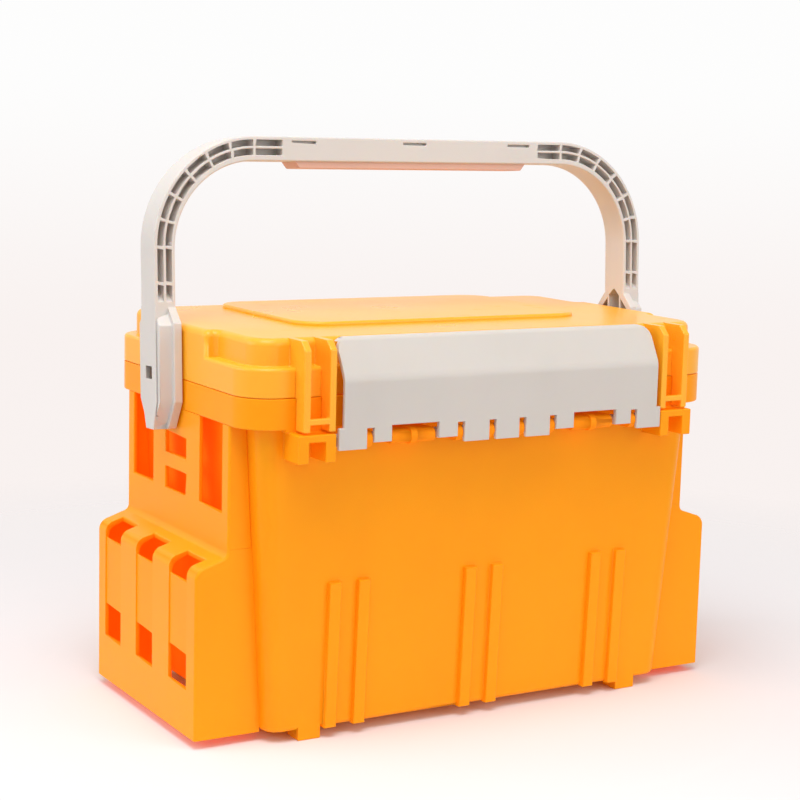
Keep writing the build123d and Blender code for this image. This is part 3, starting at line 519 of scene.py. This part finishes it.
def tangles(shape):
    """Where the outlines of faces cross themselves."""
    spots = []
    for face in shape.faces:
        count = len(face.verts)
        drop = max(range(3), key=lambda axis: abs(face.normal[axis]))
        flat = [[part for axis, part in enumerate(corner.co) if axis != drop] for corner in face.verts]
        sides = list(zip(flat, flat[1:] + flat[:1]))
        for one, other in combinations(range(count), 2):
            if 1 < other - one < count - 1 and cross(*sides[one], *sides[other]):
                spots += [face.verts[one].co.copy(), face.verts[other].co.copy()]
    return spots


def is_near(edge, spots, reach):
    """Whether an edge passes close to one of some spots."""
    first, last = (corner.co for corner in edge.verts)
    for spot in spots:
        foot, share = intersect_point_line(spot, first, last)
        if share < 0.0:
            foot = first
        elif share > 1.0:
            foot = last
        if (spot - foot).length < reach:
            return True
    return False


def rounded(name, width, spoiled):
    """A CAD node's shape with its flat faces joined and its sharp edges rounded, save near the spoiled spots.

    A corner that strays from the CAD node's surface is put back on it.
    """
    shape = bmesh.new()
    shape.from_mesh(frame["nodes"][name].data)
    bmesh.ops.remove_doubles(shape, verts=shape.verts, dist=MERGE_GAP)
    bmesh.ops.dissolve_limit(
        shape, angle_limit=FLAT_ANGLE, verts=shape.verts, edges=shape.edges, use_dissolve_boundaries=False,
    )
    skin = BVHTree.FromBMesh(shape)
    sharp = [
        edge for edge in shape.edges
        if edge.is_manifold and edge.calc_face_angle() > EDGE_ANGLE
        and has_room(edge, width) and not is_near(edge, spoiled, TANGLE_REACH * width)
    ]
    bmesh.ops.bevel(
        shape, geom=sharp, offset=width, offset_type="OFFSET", segments=EDGE_STEPS, profile=0.5,
        affect="EDGES", clamp_overlap=False, material=-1, loop_slide=True,
    )
    for corner in shape.verts:
        spot, _, _, distance = skin.find_nearest(corner.co)
        if distance > width / 2:
            corner.co = spot
    return shape


def softened(name, width, material):
    """A rounded copy of a CAD node, which stands for it."""
    spoiled = []
    shape = rounded(name, width, spoiled)
    for _ in range(TRIES):
        crossed = tangles(shape)
        if not crossed:
            break
        spoiled += crossed
        shape.free()
        shape = rounded(name, width, spoiled)
    mesh = bpy.data.meshes.new(f"{name}_moulding")
    shape.to_mesh(mesh)
    shape.free()
    mesh.polygons.foreach_set("use_smooth", [True] * len(mesh.polygons))
    mesh.set_sharp_from_angle(angle=CREASE_ANGLE)
    mesh.materials.append(material)
    piece = bpy.data.objects.new(f"{name}_moulding", mesh)
    bpy.context.scene.collection.objects.link(piece)
    even = piece.modifiers.new("even_normals", "WEIGHTED_NORMAL")
    even.keep_sharp = True
    even.weight = 60
    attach(piece, body_of_node(name))
    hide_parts(name)


def repaint(name, material):
    """Gives a CAD node that is shown as it is a better finish."""
    node = frame["nodes"][name]
    node.data.materials.clear()
    node.data.materials.append(material)


class PieceOperator:
    """What the operators of the pieces share."""

    bl_options = {"REGISTER", "UNDO"}

    @property
    def mouldings(self):
        return bpy.context.scene.tackle_box_mouldings

    def tub_plastic(self, name, recess):
        """The tub's orange with a painted glow, and painted shade in deep orange where the recess says."""
        deep = self.mouldings.recess_shade_colour
        return moulded_plastic(name, self.mouldings.tub_colour, TUB_LOOK, deep, recess, deep)


class TACKLE_OT_tub(PieceOperator, bpy.types.Operator):
    """Softens and paints the tub"""

    bl_idname = "tackle.tub"
    bl_label = "Tub"

    def execute(self, context):
        plastic = self.tub_plastic("tub_plastic", tub_shade_mask)
        softened("tub", self.mouldings.shell_edge, plastic)
        return {"FINISHED"}


class TACKLE_OT_sleeves(PieceOperator, bpy.types.Operator):
    """Softens and paints the window panels and sockets at both ends"""

    bl_idname = "tackle.sleeves"
    bl_label = "Side sleeves"

    def execute(self, context):
        plastic = self.tub_plastic("sleeve_plastic", sleeve_shade_mask)
        for side in ("left", "right"):
            for part in ("window_panel", "socket"):
                softened(f"{side}_{part}", self.mouldings.shell_edge, plastic)
        return {"FINISHED"}


class TACKLE_OT_lid(PieceOperator, bpy.types.Operator):
    """Softens and paints the lid"""

    bl_idname = "tackle.lid"
    bl_label = "Lid"

    def execute(self, context):
        mouldings = self.mouldings
        # The lid has the painted glow in the deep orange.
        plastic = moulded_plastic("lid_plastic", mouldings.lid_lit_colour, LID_LOOK, mouldings.recess_shade_colour)
        softened("lid", mouldings.shell_edge, plastic)
        return {"FINISHED"}


class TACKLE_OT_latch(PieceOperator, bpy.types.Operator):
    """Softens and paints the latch"""

    bl_idname = "tackle.latch"
    bl_label = "Latch"

    def execute(self, context):
        plastic = moulded_plastic("latch_plastic", self.mouldings.latch_colour, LATCH_LOOK)
        softened("latch", self.mouldings.trim_edge, plastic)
        return {"FINISHED"}


class TACKLE_OT_handle(PieceOperator, bpy.types.Operator):
    """Softens and paints the handle and its grip"""

    bl_idname = "tackle.handle"
    bl_label = "Handle"

    def execute(self, context):
        grey = self.mouldings.handle_colour
        # Painted shade for the paddle's groove and window.
        dark = shade(grey, GAP_SHADE)
        plastic = moulded_plastic("handle_plastic", grey, HANDLE_LOOK, UNLIT, paddle_shade_mask, dark)
        softened("handle", self.mouldings.trim_edge, plastic)
        # The grip's grey carries painted orange bounce light.
        grip = moulded_plastic("grip_plastic", self.mouldings.grip_bounce_colour, GRIP_LOOK)
        softened("handle_grip", self.mouldings.trim_edge, grip)
        return {"FINISHED"}


class TACKLE_OT_pins(PieceOperator, bpy.types.Operator):
    """Paints the pins and washers"""

    bl_idname = "tackle.pins"
    bl_label = "Pins and washers"

    def execute(self, context):
        steel = turned_steel("pin_steel", self.mouldings.steel_colour)
        plastic = moulded_plastic("washer_plastic", self.mouldings.washer_colour, WASHER_LOOK)
        for name in frame["nodes"]:
            if name.endswith("_pin"):
                repaint(name, steel)
            elif name.endswith("_washer"):
                repaint(name, plastic)
        return {"FINISHED"}


class TACKLE_OT_tray(PieceOperator, bpy.types.Operator):
    """Softens and paints the tray and the dividers"""

    bl_idname = "tackle.tray"
    bl_label = "Tray and dividers"

    def execute(self, context):
        plastic = moulded_plastic("tray_plastic", self.mouldings.tray_colour, TRAY_LOOK)
        for name in frame["nodes"]:
            if "tray" in name or "divider" in name:
                softened(name, self.mouldings.trim_edge, plastic)
        return {"FINISHED"}


FLOOR_RADIUS = 3.0
# The name of each lamp, its size and where it stands, and the spot that all of them are turned to.
LAMPS = (
    ("key", 1.3, (-0.5, -0.6, 1.9)),
    ("fill", 1.2, (1.0, -1.8, 0.8)),
    ("side", 1.3, (-1.8, 0.6, 0.9)),
)
LAMP_AIM = (0.0, 0.0, 0.18)
SKY_TINT = (1.0, 0.985, 0.975, 1.0)
# The backdrop turns from haze to near-white between these heights of the line of sight.
HAZE_TOP = -0.13
WHITE_FOOT = 0.03
SENSOR_WIDTH = 36.0
NEAR_CLIP = 0.05


class TACKLE_OT_stage(bpy.types.Operator):
    """Sets up the floor, the light and the camera"""

    bl_idname = "tackle.stage"
    bl_label = "Stage"
    bl_options = {"REGISTER", "UNDO"}

    def execute(self, context):
        studio = context.scene.tackle_box_studio
        self.lay_floor(context, studio)
        self.set_world(context, studio)
        self.hang_lamps(context, studio)
        self.aim_camera(context, studio)
        context.scene.view_settings.view_transform = "Standard"
        return {"FINISHED"}

    def lay_floor(self, context, studio):
        """A round floor that takes the shadow and fades out into the backdrop."""
        shape = bmesh.new()
        bmesh.ops.create_circle(shape, cap_ends=True, segments=96, radius=FLOOR_RADIUS)
        mesh = bpy.data.meshes.new("floor")
        shape.to_mesh(mesh)
        shape.free()
        floor = bpy.data.objects.new("floor", mesh)
        context.scene.collection.objects.link(floor)
        paint = Paint(bpy.data.materials.new("floor_paper"))
        spot = paint.node("ShaderNodeTexCoord", {}, {}, "Object")
        reach = paint.node("ShaderNodeVectorMath", {"operation": "LENGTH"}, {0: spot}, "Value")
        fade = paint.span(reach, studio.fade_start, studio.fade_end, 0.0, 1.0)
        paper = paint.node("ShaderNodeBsdfDiffuse", {}, {"Color": (*studio.floor_colour, 1.0)}, "BSDF")
        clear = paint.node("ShaderNodeBsdfTransparent", {}, {}, "BSDF")
        mixed = paint.node("ShaderNodeMixShader", {}, {0: fade, 1: paper, 2: clear}, "Shader")
        paint.node("ShaderNodeOutputMaterial", {}, {"Surface": mixed})
        mesh.materials.append(paint.owner)

    def set_world(self, context, studio):
        """An even light, and a pale backdrop for the camera and for reflections."""
        context.scene.world = bpy.data.worlds.new("studio")
        paint = Paint(context.scene.world)
        camera, glossy, through = (
            paint.node("ShaderNodeLightPath", {}, {}, f"Is {kind} Ray")
            for kind in ("Camera", "Glossy", "Transmission")
        )
        seen = camera.most(glossy).most(through)
        heading = paint.node("ShaderNodeTexCoord", {}, {}, "Generated")
        height = paint.node("ShaderNodeSeparateXYZ", {}, {"Vector": heading}, "Z")
        stops = [(0.0, studio.haze_colour), (1.0, studio.backdrop_colour)]
        fade = paint.ramp(paint.span(height, HAZE_TOP, WHITE_FOOT, 0.0, 1.0), stops, "EASE")
        backdrop = paint.node("ShaderNodeBackground", {}, {"Color": fade}, "Background")
        sky = paint.node(
            "ShaderNodeBackground", {}, {"Color": SKY_TINT, "Strength": studio.sky_strength}, "Background"
        )
        mixed = paint.node("ShaderNodeMixShader", {}, {0: seen, 1: sky, 2: backdrop}, "Shader")
        paint.node("ShaderNodeOutputWorld", {}, {"Surface": mixed})

    def hang_lamps(self, context, studio):
        """Three large, soft lamps."""
        for name, size, place in LAMPS:
            lamp = bpy.data.lights.new(name, "AREA")
            lamp.energy = getattr(studio, f"{name}_power")
            lamp.size = size
            stand = bpy.data.objects.new(name, lamp)
            stand.location = place
            aim = Vector(LAMP_AIM) - Vector(place)
            stand.rotation_euler = aim.to_track_quat("-Z", "Y").to_euler()
            context.scene.collection.objects.link(stand)

    def aim_camera(self, context, studio):
        """A camera that stands where the box is looked at from."""
        lens = bpy.data.cameras.new("photo_camera")
        lens.sensor_width = SENSOR_WIDTH
        lens.sensor_fit = "HORIZONTAL"
        lens.lens = studio.lens
        lens.clip_start = NEAR_CLIP
        camera = bpy.data.objects.new("photo_camera", lens)
        turn = Vector(studio.gaze).normalized().to_track_quat("-Z", "Y").to_matrix().to_4x4()
        roll = Matrix.Rotation(studio.roll, 4, "Z")
        camera.matrix_world = Matrix.Translation(studio.eye) @ turn @ roll
        context.scene.collection.objects.link(camera)
        context.scene.camera = camera


class TACKLE_PT_panel(bpy.types.Panel):
    """Lists the steps that dress the box"""

    bl_idname = "TACKLE_PT_panel"
    bl_label = "Tackle box"
    bl_space_type = "VIEW_3D"
    bl_region_type = "UI"
    bl_category = "Tackle box"

    def draw(self, context):
        for group in (context.scene.tackle_box_mouldings, context.scene.tackle_box_studio):
            for name in group.__annotations__:
                self.layout.prop(group, name)
        for step in STEPS:
            self.layout.operator(step.bl_idname)


STEPS = (
    TACKLE_OT_tub,
    TACKLE_OT_sleeves,
    TACKLE_OT_lid,
    TACKLE_OT_latch,
    TACKLE_OT_handle,
    TACKLE_OT_pins,
    TACKLE_OT_tray,
    TACKLE_OT_stage,
)
CLASSES = (TackleBoxMouldings, TackleBoxStudio, *STEPS, TACKLE_PT_panel)


def register():
    for entry in CLASSES:
        bpy.utils.register_class(entry)
    bpy.types.Scene.tackle_box_mouldings = PointerProperty(type=TackleBoxMouldings)
    bpy.types.Scene.tackle_box_studio = PointerProperty(type=TackleBoxStudio)


def unregister():
    del bpy.types.Scene.tackle_box_studio
    del bpy.types.Scene.tackle_box_mouldings
    for entry in reversed(CLASSES):
        bpy.utils.unregister_class(entry)


def main():
    register()
    bpy.ops.tackle.tub()
    bpy.ops.tackle.sleeves()
    bpy.ops.tackle.lid()
    bpy.ops.tackle.latch()
    bpy.ops.tackle.handle()
    bpy.ops.tackle.pins()
    bpy.ops.tackle.tray()
    bpy.ops.tackle.stage()


if __name__ == "__main__":
    main()
